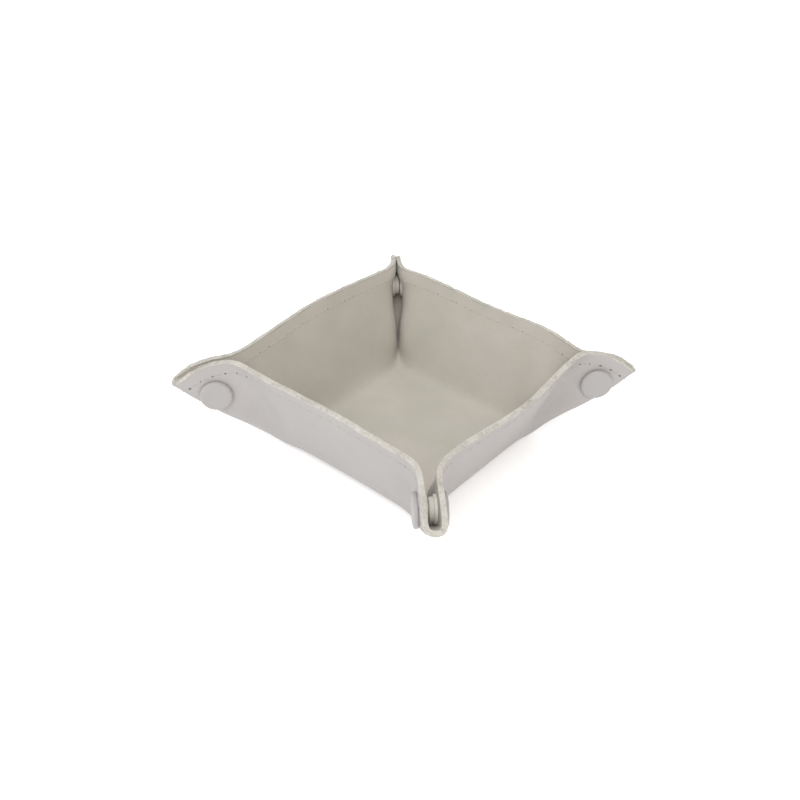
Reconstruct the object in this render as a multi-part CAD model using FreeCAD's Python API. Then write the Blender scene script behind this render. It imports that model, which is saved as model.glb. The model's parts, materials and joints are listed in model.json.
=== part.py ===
import FreeCAD, Part
import math
import os
from FreeCAD import Vector

# Folding dice tray: one square sheet of two bonded plies whose four corners are pinched outwards
# and held by press studs. Millimetres, +Z up, origin in the middle of the underside of the base.
# Every panel is cut from the flat sheet and then folded up about its own fold lines.

# Driving dimensions
SHEET_SIDE = 150.0          # flat square sheet, 6 in
BASE_SIDE = 66.0            # flat square that the tray stands on
CORNER_RADIUS = 26.0        # rounded corners of the sheet
OUTER_PLY = 1.1             # smooth outer ply
LINING_PLY = 0.9            # soft lining ply
WALL_ANGLE = 70.0           # degrees that each wall is folded up from flat
PINCH_GAP = 4.4             # between the lining faces of a snapped corner
FOLD_CLEARANCE = 0.1        # each side of a fold line
CREASE_CLEARANCE = 0.45     # each side of the diagonal, where the two fold strips meet
FOLD_START = 3.5            # the ears start this far out from the base, clear of its corners
CREASE_START = 5.0          # the same for the fold strips, along the diagonal

CAP_DIAMETER = 12.4         # press stud cap
CAP_THICKNESS = 1.7
CAP_RIM_RADIUS = 0.6
POST_DIAMETER = 2.4
FLANGE_DIAMETER = 10.4      # socket and stud discs
SOCKET_HEIGHT = 2.8
SOCKET_BORE = 5.1
SOCKET_FLOOR = 0.9
STUD_FLANGE = 1.2
BOSS_DIAMETER = 4.6
BOSS_LENGTH = 1.5
BOSS_TIP_RADIUS = 0.4
DISC_RIM_RADIUS = 0.3       # on the socket and the stud
RIVET_HEAD = 0.3            # height of the flattened end of a cap's post
RIVET_DIAMETER = 3.2
STUD_FROM_TIP = 14.5        # stud centre, back from the tip of the corner along the crease
STUD_ABOVE_CREASE = 5.4

STITCH_INSET = 4.5          # stitch line from the rim
STITCH_PITCH = 4.8
STITCH_LENGTH = 3.3
STITCH_WIDTH = 0.7
STITCH_HEIGHT = 0.3

MARGIN = 1.0                # by which a cutting tool runs past the face that it opens
TOLERANCE = 1e-6            # for telling which edges lie at a height

# Worked out from the driving dimensions
THICKNESS = OUTER_PLY + LINING_PLY
HALF_BASE = BASE_SIDE / 2
WALL_WIDTH = (SHEET_SIDE - BASE_SIDE) / 2
HALF_GAP = PINCH_GAP / 2
TILT = math.radians(WALL_ANGLE)
EAR_LEAN = math.cos(TILT)                               # run of an ear's fold line per unit outwards
EAR_FOLD_START = THICKNESS * math.sin(TILT) - math.sqrt(2) * (HALF_GAP + THICKNESS)
EAR_ANGLE = math.degrees(math.acos(math.sin(TILT) / math.sqrt(2)))
CREASE_ANGLE = 90.0
ARC_CENTRE = WALL_WIDTH - CORNER_RADIUS                 # of the rounded corner, out from the base
CREASE_LENGTH = WALL_WIDTH * math.sqrt(2) - CORNER_RADIUS * (math.sqrt(2) - 1)
DIAGONAL = math.sqrt(0.5)

X_AXIS = Vector(1, 0, 0)
Z_AXIS = Vector(0, 0, 1)

# Walls in order round the base, a quarter turn apart, with the corners at their two ends
WALLS = ("front", "right", "back", "left")
END_NAMES = {"front": ("left", "right"), "right": ("front", "back"),
             "back": ("right", "left"), "left": ("back", "front")}
STUD_WALLS = ("front", "back")


def flat(x, out, z=0.0):
    """A point of the flat sheet beside the front of the base: x along it, out away from it."""
    return Vector(x, -HALF_BASE - out, z)


def diagonal_point(along, aside, z=0.0):
    """A point of the front right corner: along its diagonal, and aside from it to the front wall."""
    return flat(HALF_BASE + (along - aside) * DIAGONAL, (along + aside) * DIAGONAL, z)


def ear_fold_x(out):
    """Where the right ear's fold line lies at a distance out from the base."""
    return HALF_BASE + EAR_FOLD_START + EAR_LEAN * out


def ply_levels(ply):
    """Lower and upper face of a ply in the flat sheet."""
    if ply == "outer":
        return 0.0, OUTER_PLY
    if ply == "lining":
        return OUTER_PLY, THICKNESS
    return 0.0, THICKNESS


def plate(edges, ply):
    """The closed outline of edges at the sheet's underside, as a plate of one ply."""
    bottom, top = ply_levels(ply)
    face = Part.Face(Part.Wire(edges))
    face.translate(Vector(0, 0, bottom))
    return face.extrude(Vector(0, 0, top - bottom))


def line(a, b):
    return Part.LineSegment(a, b).toShape()


def polygon(points):
    return [line(a, b) for a, b in zip(points, points[1:] + points[:1])]


def make_base(ply):
    half = HALF_BASE - FOLD_CLEARANCE
    corners = [Vector(x * half, y * half, 0) for x, y in ((-1, -1), (1, -1), (1, 1), (-1, 1))]
    return plate(polygon(corners), ply)


def make_wall(ply):
    low = FOLD_CLEARANCE
    side = FOLD_CLEARANCE / math.cos(math.atan(EAR_LEAN))
    near = ear_fold_x(low) - side
    far = ear_fold_x(WALL_WIDTH) - side
    corners = [flat(-near, low), flat(near, low), flat(far, WALL_WIDTH), flat(-far, WALL_WIDTH)]
    return plate(polygon(corners), ply)


def rounded_corner_point(degrees):
    """A point of the sheet's rounded corner, measured round from its wall's direction."""
    turn = math.radians(degrees)
    reach = CORNER_RADIUS * math.sin(turn)
    return flat(HALF_BASE + ARC_CENTRE + reach, ARC_CENTRE + CORNER_RADIUS * math.cos(turn))


def rim_angle(aside):
    """How far round the rounded corner a line runs that is parallel to the diagonal."""
    return 45.0 - math.degrees(math.asin(aside / CORNER_RADIUS))


def make_ear(ply):
    """Half of a pinched corner, from its fold at the wall to its fold beside the diagonal."""
    side = FOLD_CLEARANCE / math.cos(math.atan(EAR_LEAN))
    aside = HALF_GAP + FOLD_CLEARANCE
    end_angle = rim_angle(aside)
    low_wall = flat(ear_fold_x(FOLD_START) + side, FOLD_START)
    high_wall = flat(ear_fold_x(WALL_WIDTH) + side, WALL_WIDTH)
    arc_start = rounded_corner_point(0)
    arc_end = rounded_corner_point(end_angle)
    low_crease = flat(HALF_BASE + FOLD_START - aside / DIAGONAL, FOLD_START)
    arc = Part.Arc(arc_start, rounded_corner_point(end_angle / 2), arc_end).toShape()
    edges = [line(low_wall, high_wall), line(high_wall, arc_start), arc, line(arc_end, low_crease),
             line(low_crease, low_wall)]
    post_hole = disc(POST_DIAMETER, -MARGIN, THICKNESS + MARGIN)
    return plate(edges, ply).cut(post_hole)


def make_crease():
    """Half of the strip that closes a pinched corner underneath, both plies, up to the diagonal."""
    inner = HALF_GAP - FOLD_CLEARANCE
    outer = CREASE_CLEARANCE
    first = rim_angle(inner)
    last = rim_angle(outer)
    arc = Part.Arc(rounded_corner_point(first), rounded_corner_point((first + last) / 2),
                   rounded_corner_point(last)).toShape()
    start = [diagonal_point(CREASE_START, outer), diagonal_point(CREASE_START, inner)]
    edges = [line(start[0], start[1]), line(start[1], rounded_corner_point(first)), arc,
             line(rounded_corner_point(last), start[0])]
    return plate(edges, "both")


def stud_centre(z):
    return diagonal_point(CREASE_LENGTH - STUD_FROM_TIP, HALF_GAP + STUD_ABOVE_CREASE, z)


def disc(diameter, low, high):
    """A disc about the press stud's axis, between two heights in the flat sheet."""
    return Part.makeCylinder(diameter / 2, high - low, stud_centre(low), Z_AXIS)


def rounded_rim(shape, radius, height):
    """Round the circular edges of a disc that lie at one height."""
    def at_height(edge):
        return abs(edge.BoundBox.ZMin - height) + abs(edge.BoundBox.ZMax - height) < TOLERANCE

    return shape.makeFillet(radius, [edge for edge in shape.Edges if at_height(edge)])


def make_cap(head_level):
    """Cap outside the outer ply, with its post through both plies and a flattened end."""
    head = rounded_rim(disc(CAP_DIAMETER, -CAP_THICKNESS, 0), CAP_RIM_RADIUS, -CAP_THICKNESS)
    post = disc(POST_DIAMETER, 0, head_level)
    rivet = disc(RIVET_DIAMETER, head_level, head_level + RIVET_HEAD)
    return head.fuse([post, rivet]).removeSplitter()


def make_socket():
    """Ring with a bore that takes the stud's boss, and a floor that the post holds."""
    top = THICKNESS + SOCKET_HEIGHT
    ring = rounded_rim(disc(FLANGE_DIAMETER, THICKNESS, top), DISC_RIM_RADIUS, top)
    bore = disc(SOCKET_BORE, THICKNESS + SOCKET_FLOOR, top + MARGIN)
    hole = disc(POST_DIAMETER, THICKNESS - MARGIN, THICKNESS + SOCKET_FLOOR + MARGIN)
    return ring.cut(bore).cut(hole)


def make_stud():
    """Flange with a round-ended boss, bored for the post and recessed for its flattened end."""
    face = THICKNESS + STUD_FLANGE
    top = face + BOSS_LENGTH
    flange = rounded_rim(disc(FLANGE_DIAMETER, THICKNESS, face), DISC_RIM_RADIUS, face)
    boss = rounded_rim(disc(BOSS_DIAMETER, face - STUD_FLANGE / 2, top), BOSS_TIP_RADIUS, top)
    hole = disc(POST_DIAMETER, THICKNESS - MARGIN, top + MARGIN)
    recess = disc(RIVET_DIAMETER, top - RIVET_HEAD, top + MARGIN)
    return flange.fuse(boss).cut(hole).cut(recess)


def stitch(x, out, level, up):
    """One stitch, a bead with a D section lying on a face of the sheet."""
    half = STITCH_WIDTH / 2
    near = flat(x - STITCH_LENGTH / 2, out - half, level)
    far = flat(x - STITCH_LENGTH / 2, out + half, level)
    top = flat(x - STITCH_LENGTH / 2, out, level + up * STITCH_HEIGHT)
    face = Part.Face(Part.Wire([Part.Arc(near, top, far).toShape(), line(far, near)]))
    return face.extrude(Vector(STITCH_LENGTH, 0, 0))


def make_stitching():
    """The stitches along one wall's rim, outside and inside."""
    out = WALL_WIDTH - STITCH_INSET
    reach = ear_fold_x(out) - STITCH_PITCH / 2
    count = int(2 * reach / STITCH_PITCH) + 1
    stitches = []
    for number in range(count):
        x = (number - (count - 1) / 2) * STITCH_PITCH
        stitches.append(stitch(x, out, 0.0, -1))
        stitches.append(stitch(x, out, THICKNESS, 1))
    return Part.makeCompound(stitches)


def fold_crease(shape):
    return rotated(shape, diagonal_point(0, HALF_GAP, THICKNESS), Vector(1, -1, 0), CREASE_ANGLE)


def fold_ear(shape):
    return rotated(shape, flat(HALF_BASE + EAR_FOLD_START, 0), Vector(EAR_LEAN, -1, 0), -EAR_ANGLE)


def fold_wall(shape):
    return rotated(shape, flat(0, 0, THICKNESS), X_AXIS, -WALL_ANGLE)


def rotated(shape, centre, axis, degrees):
    turned = shape.copy()
    turned.rotate(centre, axis, degrees)
    return turned


def mirrored(shape):
    return shape.mirror(Vector(0, 0, 0), X_AXIS)


def export(name, shape, turn):
    """Turn a front wall part round to its own wall and write it."""
    placed = rotated(shape, Vector(0, 0, 0), Z_AXIS, turn)
    if not placed.isValid():
        raise ValueError(name + " is not a valid solid")
    placed.exportStep("parts/" + name + ".step")


def ear_parts(wall):
    """The pieces of a right-hand ear half of this wall, folded up, by the start of their names."""
    parts = {"outer_ear": make_ear("outer"), "lining_ear": make_ear("lining")}
    if wall in STUD_WALLS:
        parts["snap_stud"] = make_stud()
        parts["stud_cap"] = make_cap(THICKNESS + STUD_FLANGE + BOSS_LENGTH - RIVET_HEAD)
    else:
        parts["snap_socket"] = make_socket()
        parts["socket_cap"] = make_cap(THICKNESS + SOCKET_FLOOR)
    parts["crease"] = fold_crease(make_crease())
    return {name: fold_wall(fold_ear(shape)) for name, shape in parts.items()}


def main():
    os.makedirs("parts", exist_ok=True)
    export("outer_base", make_base("outer"), 0)
    export("lining_base", make_base("lining"), 0)
    for number, wall in enumerate(WALLS):
        turn = 90.0 * number
        export("outer_wall_" + wall, fold_wall(make_wall("outer")), turn)
        export("lining_wall_" + wall, fold_wall(make_wall("lining")), turn)
        export("stitching_" + wall, fold_wall(make_stitching()), turn)
        left_end, right_end = END_NAMES[wall]
        for name, shape in ear_parts(wall).items():
            export(name + "_" + wall + "_" + right_end, shape, turn)
            export(name + "_" + wall + "_" + left_end, mirrored(shape), turn)


main()
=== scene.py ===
import json
import math

import bpy
import numpy as np
from mathutils import Matrix, Vector


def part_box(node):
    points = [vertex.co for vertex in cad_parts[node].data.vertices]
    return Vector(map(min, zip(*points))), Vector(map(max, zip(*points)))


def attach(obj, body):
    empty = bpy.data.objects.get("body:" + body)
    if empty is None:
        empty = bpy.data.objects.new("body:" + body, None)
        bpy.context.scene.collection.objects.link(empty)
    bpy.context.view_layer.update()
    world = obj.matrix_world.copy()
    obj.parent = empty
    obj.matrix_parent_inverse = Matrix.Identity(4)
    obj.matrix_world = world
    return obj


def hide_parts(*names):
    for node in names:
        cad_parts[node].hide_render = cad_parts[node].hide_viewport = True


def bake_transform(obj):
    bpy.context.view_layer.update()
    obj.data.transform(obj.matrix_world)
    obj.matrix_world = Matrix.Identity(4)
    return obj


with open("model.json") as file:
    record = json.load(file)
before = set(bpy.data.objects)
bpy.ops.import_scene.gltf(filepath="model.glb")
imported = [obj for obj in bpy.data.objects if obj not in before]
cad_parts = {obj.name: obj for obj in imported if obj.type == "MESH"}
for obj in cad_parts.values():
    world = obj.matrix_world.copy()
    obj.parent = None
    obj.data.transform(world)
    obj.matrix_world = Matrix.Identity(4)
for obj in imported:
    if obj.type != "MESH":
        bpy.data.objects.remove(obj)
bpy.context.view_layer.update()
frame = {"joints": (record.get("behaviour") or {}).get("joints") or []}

# The sheet is worked out in millimetres and its meshes are made in metres.
MM = 0.001

# Flat sheet, as the CAD model has it
SHEET_SIDE = 150.0
CORNER_RADIUS = 26.0
STITCH_INSET = 4.5
STITCHES_PER_HALF_SIDE = 14

# How softly the sheet bends: the radius over which each fold is rounded
FOLD_SOFTNESS = 10.0            # far from the creases
CREASE_SOFTNESS = 2.6           # at the creases
CORNER_SOFTNESS = 4.0           # added where a crease starts, at the base's corner
CORNER_REACH = 34.0             # how far along the crease that fades
TIP_SOFTNESS = 1.6              # added at the crease's far end
TIP_REACH = 10.0                # how far before that end it starts
SOFTNESS_GROWTH = 0.5           # per millimetre away from the crease
KERNEL_PAIRS = 48

# Lattice of softly folded points, in millimetres, and where it starts before the sheet's middle
LATTICE_STEP = 0.5
LATTICE_START = 4
LATTICE_COUNT = 162
SLOPE_STEP = 0.25

# Mesh spacing: cells in half a side of the sheet, across the base's margin, and from there to the rim
WALL_CELLS = 24
EAR_CELLS = 18
CREASE_CELLS = 9
TONGUE_CELLS = 3                # how far each piece reaches, thinned, inside its neighbours
TONGUE_INSET = (0.03, 0.12)     # how far a tongue lies inside its ply's faces, at its root and at its end
MARGIN_ROWS = 10
ROWS = 36
BASE_CELLS = 46
MARGIN = 10.0                   # of the base, which goes with the walls' pieces
WALL_END_BASE = 22.0            # where a wall's piece gives way to its ear's, at the base and at the rim
WALL_END_RIM = 35.9
CREASE_HALF_WIDTH = 4.0         # of a crease piece, from the diagonal

# Widths of the bands at the folds where one body meets the next
WALL_BAND = 6.0
EAR_BAND = 5.0
CREASE_BAND = 2.0

# How the real sheet strays from flat walls, in millimetres: each wall's rim outwards, its lip outwards and
# its rim upwards; each corner's tip outwards, aside and upwards; and the rim beside each ear's fold upwards
WALL_STRAY = {"front": (-0.3, -1.2, -0.7), "right": (1.6, 1.5, 0.4),
              "back": (0.3, 0.4, -1.8), "left": (0.7, 0.5, 2.0)}
TIP_STRAY = {(-1, -1): (0.8, 0.4, 1.0), (1, -1): (0.3, 0.6, -0.3),
             (1, 1): (-1.2, 0.0, -0.6), (-1, 1): (0.7, -1.2, 1.2)}
EAR_LIFT = {"front_left": 1.0, "front_right": -0.2, "right_front": -1.6, "right_back": -0.2,
            "back_right": -3.8, "back_left": -2.0, "left_back": -0.8, "left_front": -0.6}
WALL_FADE = (30.0, 42.0)        # how far from its middle a wall strays, at the base and at the rim
SWING_ALONG = (0.0, 45.0)       # where along its crease a corner's swing comes in
SWING_WIDTH = 18.0
LIFT_ALONG = (0.0, 40.0)
LIFT_ASIDE = 20.0               # from the crease to the middle of an ear's lift
LIFT_WIDTH = 10.0
LIFT_PAST_MIDDLE = 5.0

# How far a corner's two sides close up, as a share of the gap: beyond its press stud, and below it
TIP_PINCH = {(-1, -1): 0.1, (1, -1): 0.0, (1, 1): 0.3, (-1, 1): 0.8}
TIP_PINCH_FROM_END = 9.0
TIP_PINCH_SLANT = 0.6           # how much sooner it starts, per millimetre aside
TIP_PINCH_ASIDE = (14.0, 28.0)  # where it fades
TIP_PINCH_GAP = 4.0             # wider gaps close no further
CREASE_PINCH = 0.6
CREASE_PINCH_RISE = (0.0, 9.0)
CREASE_PINCH_FADE = (13.0, 27.0)
CREASE_PINCH_GAP = 7.0

# Slow waves in the walls, as (share, turn per millimetre along x, along y, start), and where they calm down
WAVINESS = 0.12
WAVES = ((1.0, 0.13, 0.09, 1.0), (1.0, -0.05, 0.21, 2.1), (0.6, 0.31, 0.23, 4.0), (0.5, 0.43, -0.37, 0.0))
WAVES_FROM_BASE = (8.0, 35.0)
CREASE_CALM = 0.8
CREASE_CALM_ALONG = (10.0, 30.0)

WALLS = ("front", "right", "back", "left")
END_NAMES = {"front": ("left", "right"), "right": ("front", "back"),
             "back": ("right", "left"), "left": ("back", "front")}
STUD_WALLS = ("front", "back")


# ---------------------------------------------------------------- the frame's dimensions

def unit(vector):
    vector = np.asarray(vector, float)
    return vector / np.linalg.norm(vector)


def joint(name):
    return next(j for j in frame["joints"] if j["name"] == name)


def in_octant(vector):
    """A row frame vector beside the front wall, as (along the wall, outwards, up)."""
    return np.array([vector[0], -vector[1], vector[2]], float)


def turned(points, quarter):
    """Points turned by quarter turns about the tray's middle, flat or folded."""
    cosine, sine = ((1, 0), (0, 1), (-1, 0), (0, -1))[quarter]
    result = np.array(points, float)
    result[..., 0], result[..., 1] = (cosine * result[..., 0] - sine * result[..., 1],
                                      sine * result[..., 0] + cosine * result[..., 1])
    return result


wall_joint = joint("wall_front_fold")
ear_joint = joint("ear_front_right_fold")
crease_joint = joint("crease_front_right_fold")
HALF_BASE = -wall_joint["pos_m"][1] / MM
THICKNESS = wall_joint["pos_m"][2] / MM
OUTER_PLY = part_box("outer_base")[1][2] / MM
WALL_WIDTH = SHEET_SIDE / 2 - HALF_BASE
EAR_DIRECTION = in_octant(ear_joint["axis"])            # up the fold between a wall and its ear
CREASE_POINT = in_octant(crease_joint["pos_m"]) / MM
CREASE_DIRECTION = -in_octant(crease_joint["axis"])     # outwards and up, along the crease
HALF_GAP = (CREASE_POINT[1] - CREASE_POINT[0]) / math.sqrt(2)
WALL_TILT = math.atan2(EAR_DIRECTION[2], EAR_DIRECTION[1])
ARC_CENTRE = WALL_WIDTH - CORNER_RADIUS
CREASE_LENGTH = WALL_WIDTH * math.sqrt(2) - CORNER_RADIUS * (math.sqrt(2) - 1)
EAR_FOLD_START = in_octant(ear_joint["pos_m"])[0] / MM
EAR_LEAN = math.cos(WALL_TILT)


# ---------------------------------------------------------------- the folded sheet's middle surface
# One eighth of the sheet, half a wall and half a corner, is worked out in octant coordinates: p along
# the wall from its middle, q outwards from the tray's middle, and z up. Flat points are (u, out).

def meet(*planes):
    """The point that three planes share, each given as its normal and distance."""
    return np.linalg.solve([normal for normal, _ in planes], [distance for _, distance in planes])


def through(normal, point, offset=0.0):
    normal = unit(normal)
    return normal, float(normal @ point) + offset


def fold_planes():
    """The middle planes of the base, wall, ear and crease strip of one octant, and the diagonal."""
    half = THICKNESS / 2
    rise = math.sqrt(1 - CREASE_DIRECTION[2] ** 2)
    run = CREASE_DIRECTION[2] / math.sqrt(2)
    return {
        "base": through((0, 0, 1), (0, 0, half)),
        "wall": through((0, math.sin(WALL_TILT), -math.cos(WALL_TILT)), (0, HALF_BASE, THICKNESS), half),
        "ear": through((-1, 1, 0), CREASE_POINT, half),
        "crease": through((-run, -run, rise), CREASE_POINT, -half),
        "diagonal": through((-1, 1, 0), (0, 0, 0)),
    }


def flat_diagonal_point(along, aside):
    return np.array([HALF_BASE + (along - aside) / math.sqrt(2), (along + aside) / math.sqrt(2)])


def folded_net():
    """Corner points of the folded octant as flat and folded points, and the triangles between them.

    The walls, ears and strips run on past the rim, so that the rounding near it has something to use.
    """
    planes = fold_planes()
    base, wall, ear, crease, diagonal = (planes[k] for k in ("base", "wall", "ear", "crease", "diagonal"))
    past_rim = 1.5
    rim_height = THICKNESS + WALL_WIDTH * math.sin(WALL_TILT) - THICKNESS / 2 * math.cos(WALL_TILT)
    rim = through((0, 0, 1), (0, 0, rim_height))
    middle = through((1, 0, 0), (0, 0, 0))
    wall_foot = meet(middle, base, wall)
    wall_rim = meet(middle, wall, rim)
    ear_foot = meet(base, wall, ear)
    ear_rim = meet(wall, ear, rim)
    crease_foot = meet(base, ear, crease)
    corner_foot = meet(base, crease, diagonal)
    tip = through(CREASE_DIRECTION, CREASE_POINT, CREASE_LENGTH)
    crease_tip = meet(ear, crease, tip)
    corner_tip = meet(crease, diagonal, tip)
    inner = HALF_BASE - 6.0         # a place on the base's diagonal

    def beyond(foot, end):
        return foot + (end - foot) * past_rim

    points = {
        "centre": ((0, -HALF_BASE), (0, 0, THICKNESS / 2)),
        "inner": ((inner, inner - HALF_BASE), (inner, inner, THICKNESS / 2)),
        "wall_foot": ((0, 0), wall_foot),
        "ear_foot": ((EAR_FOLD_START, 0), ear_foot),
        "crease_foot": (flat_diagonal_point(-HALF_GAP, HALF_GAP), crease_foot),
        "corner_foot": ((HALF_BASE, 0), corner_foot),
        "wall_rim": ((0, WALL_WIDTH * past_rim), beyond(wall_foot, wall_rim)),
        "ear_rim": ((EAR_FOLD_START + EAR_LEAN * WALL_WIDTH * past_rim, WALL_WIDTH * past_rim),
                    beyond(ear_foot, ear_rim)),
        "crease_tip": (flat_diagonal_point((CREASE_LENGTH + HALF_GAP) * past_rim - HALF_GAP, HALF_GAP),
                       beyond(crease_foot, crease_tip)),
        "corner_tip": (flat_diagonal_point(CREASE_LENGTH * past_rim, 0), beyond(corner_foot, corner_tip)),
    }
    triangles = (("centre", "wall_foot", "inner"), ("wall_foot", "ear_foot", "inner"),
                 ("ear_foot", "crease_foot", "inner"), ("crease_foot", "corner_foot", "inner"),
                 ("wall_foot", "ear_foot", "ear_rim"), ("wall_foot", "ear_rim", "wall_rim"),
                 ("ear_foot", "ear_rim", "crease_tip"), ("ear_foot", "crease_tip", "crease_foot"),
                 ("crease_foot", "crease_tip", "corner_tip"), ("crease_foot", "corner_tip", "corner_foot"))
    return points, triangles


NET_POINTS, NET_TRIANGLES = folded_net()


def fold_octant(flat):
    """Folded points of flat points of one octant, with sharp folds."""
    best = np.full(len(flat), -np.inf)
    folded = np.zeros((len(flat), 3))
    targets = np.column_stack([flat, np.ones(len(flat))]).T
    for names in NET_TRIANGLES:
        corners = np.array([NET_POINTS[n][0] for n in names], float)
        places = np.array([NET_POINTS[n][1] for n in names], float)
        shares = np.linalg.solve(np.vstack([corners.T, np.ones(3)]), targets).T
        inside = shares.min(axis=1)
        better = inside > best
        best[better] = inside[better]
        folded[better] = shares[better] @ places
    return folded


def fold_sharp(flat):
    """Folded points of any flat points (x, y), with sharp folds."""
    x, y = flat[:, 0], flat[:, 1]
    beside_front = np.abs(y) >= np.abs(x)
    along = np.where(beside_front, np.abs(x), np.abs(y))
    outwards = np.where(beside_front, np.abs(y), np.abs(x))
    folded = fold_octant(np.column_stack([along, outwards - HALF_BASE]))
    sign_x = np.where(x < 0, -1.0, 1.0)
    sign_y = np.where(y < 0, -1.0, 1.0)
    return np.column_stack([
        sign_x * np.where(beside_front, folded[:, 0], folded[:, 1]),
        sign_y * np.where(beside_front, folded[:, 1], folded[:, 0]),
        folded[:, 2],
    ])


def rise_from(value, start, end):
    """0 before start, 1 after end, and smooth between them."""
    share = np.clip((value - start) / (end - start), 0, 1)
    return share * share * (3 - 2 * share)


def softness(flat):
    """The rounding radius at each flat point: small at the creases, and full away from them."""
    along = (np.abs(flat).sum(axis=1) - 2 * HALF_BASE) / math.sqrt(2)
    aside = np.abs(np.abs(flat[:, 0]) - np.abs(flat[:, 1])) / math.sqrt(2)
    from_crease = np.hypot(np.minimum(along, 0.0), aside)
    at_ends = (CORNER_SOFTNESS * (1 - rise_from(along, 0, CORNER_REACH))
               + TIP_SOFTNESS * rise_from(along, CREASE_LENGTH - TIP_REACH, CREASE_LENGTH))
    grown = CREASE_SOFTNESS + at_ends + SOFTNESS_GROWTH * np.maximum(0.0, from_crease - HALF_GAP)
    return FOLD_SOFTNESS * np.tanh(grown / FOLD_SOFTNESS)


def kernel():
    """Pairs of opposite offsets in the unit disc, spread like sunflower seeds, and their weights."""
    number = np.arange(KERNEL_PAIRS)
    radius = np.sqrt((number + 0.5) / KERNEL_PAIRS)
    turn = number * math.pi * (3 - math.sqrt(5))
    offsets = np.column_stack([radius * np.cos(turn), radius * np.sin(turn)])
    weights = (1 - radius ** 2) ** 1.5
    weights = np.concatenate([weights, weights])
    return np.vstack([offsets, -offsets]), weights / weights.sum()


def fold_soft(flat):
    """Folded points of any flat points, with each fold rounded by averaging over a disc."""
    radius = softness(flat)[:, None]
    folded = np.zeros((len(flat), 3))
    for offset, weight in zip(*kernel()):
        folded += weight * fold_sharp(flat + radius * offset)
    return folded


def make_lattice():
    """Softly folded points on a square lattice over one quarter of the sheet."""
    line = (np.arange(LATTICE_COUNT) - LATTICE_START) * LATTICE_STEP
    x, y = np.meshgrid(line, line, indexing="ij")
    return fold_soft(np.column_stack([x.ravel(), y.ravel()])).reshape(LATTICE_COUNT, LATTICE_COUNT, 3)


LATTICE = make_lattice()


def spline_weights(share):
    """Weights of four lattice points in a row for cubic splines, and for their slopes."""
    weights = np.stack([(1 - share) ** 3, 3 * share ** 3 - 6 * share ** 2 + 4,
                        -3 * share ** 3 + 3 * share ** 2 + 3 * share + 1, share ** 3]) / 6
    slopes = np.stack([-(1 - share) ** 2, 3 * share ** 2 - 4 * share,
                       -3 * share ** 2 + 2 * share + 1, share ** 2]) / 2
    return weights, slopes / LATTICE_STEP


def fold_even(flat):
    """The evenly folded sheet's place, and its slopes along x and y, at flat points."""
    sign = np.where(flat < 0, -1.0, 1.0)
    spot = np.abs(flat) / LATTICE_STEP + LATTICE_START
    cell = np.clip(np.floor(spot).astype(int), 1, LATTICE_COUNT - 3)
    (weight_x, slope_x), (weight_y, slope_y) = (spline_weights(spot[:, i] - cell[:, i]) for i in (0, 1))
    place, by_x, by_y = (np.zeros((len(flat), 3)) for _ in range(3))
    for i in range(4):
        for j in range(4):
            point = LATTICE[cell[:, 0] + i - 1, cell[:, 1] + j - 1]
            place += (weight_x[i] * weight_y[j])[:, None] * point
            by_x += (slope_x[i] * weight_y[j])[:, None] * point
            by_y += (weight_x[i] * slope_y[j])[:, None] * point
    one = np.ones(len(flat))
    both = sign[:, 0] * sign[:, 1]
    return (place * np.column_stack([sign[:, 0], sign[:, 1], one]),
            by_x * np.column_stack([one, both, sign[:, 0]]),
            by_y * np.column_stack([both, one, sign[:, 1]]))


# ---------------------------------------------------------------- how the real sheet strays from that

def wall_stray(flat, quarter, wall):
    """One wall leaning out, its lip turning, and its rim rising, fading towards its ends."""
    lean, lip, lift = WALL_STRAY[wall]
    local = turned(flat, -quarter)
    share = np.maximum(-local[:, 1] - HALF_BASE, 0) / WALL_WIDTH
    reach = WALL_FADE[0] + (WALL_FADE[1] - WALL_FADE[0]) * share
    fade = np.cos(math.pi / 2 * np.minimum(1, np.abs(local[:, 0]) / reach)) ** 2
    out = (lean * share + lip * share ** 3) * fade
    up = lift * share * fade - out * math.cos(WALL_TILT)
    return turned(np.column_stack([0 * out, -out * math.sin(WALL_TILT), up]), quarter)


def corner_frame(corner):
    outwards = np.array([corner[0], corner[1], 0]) / math.sqrt(2)
    return outwards, np.array([-outwards[1], outwards[0], 0])


def beside_crease(flat, corner):
    """Flat points mirrored into one corner: x, y, and how far along its crease and aside of it."""
    x, y = flat[:, 0] * corner[0], flat[:, 1] * corner[1]
    return x, y, (x + y - 2 * HALF_BASE) / math.sqrt(2), (x - y) / math.sqrt(2)


def corner_stray(flat, corner):
    """One pinched corner swinging as a whole."""
    outwards, aside = corner_frame(corner)
    x, y, along, from_fold = beside_crease(flat, corner)
    weight = rise_from(along, *SWING_ALONG) * np.exp(-(from_fold / SWING_WIDTH) ** 2) * ((x > 0) & (y > 0))
    out, side, up = TIP_STRAY[corner]
    return weight[:, None] * (out * outwards + side * aside + up * np.array([0, 0, 1]))


def ear_lifts(flat, corner):
    """The rim beside each of a corner's two ears, up or down."""
    x, y, along, from_fold = beside_crease(flat, corner)
    inside = (x > -LIFT_PAST_MIDDLE) & (y > -LIFT_PAST_MIDDLE)
    sides = ("left" if corner[0] < 0 else "right", "front" if corner[1] < 0 else "back")
    up = np.zeros(len(flat))
    for sign, name in ((1, sides[0] + "_" + sides[1]), (-1, sides[1] + "_" + sides[0])):
        bump = np.exp(-((from_fold - sign * LIFT_ASIDE) / LIFT_WIDTH) ** 2)
        up += EAR_LIFT[name] * bump * rise_from(along, *LIFT_ALONG) * inside
    return up


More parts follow.
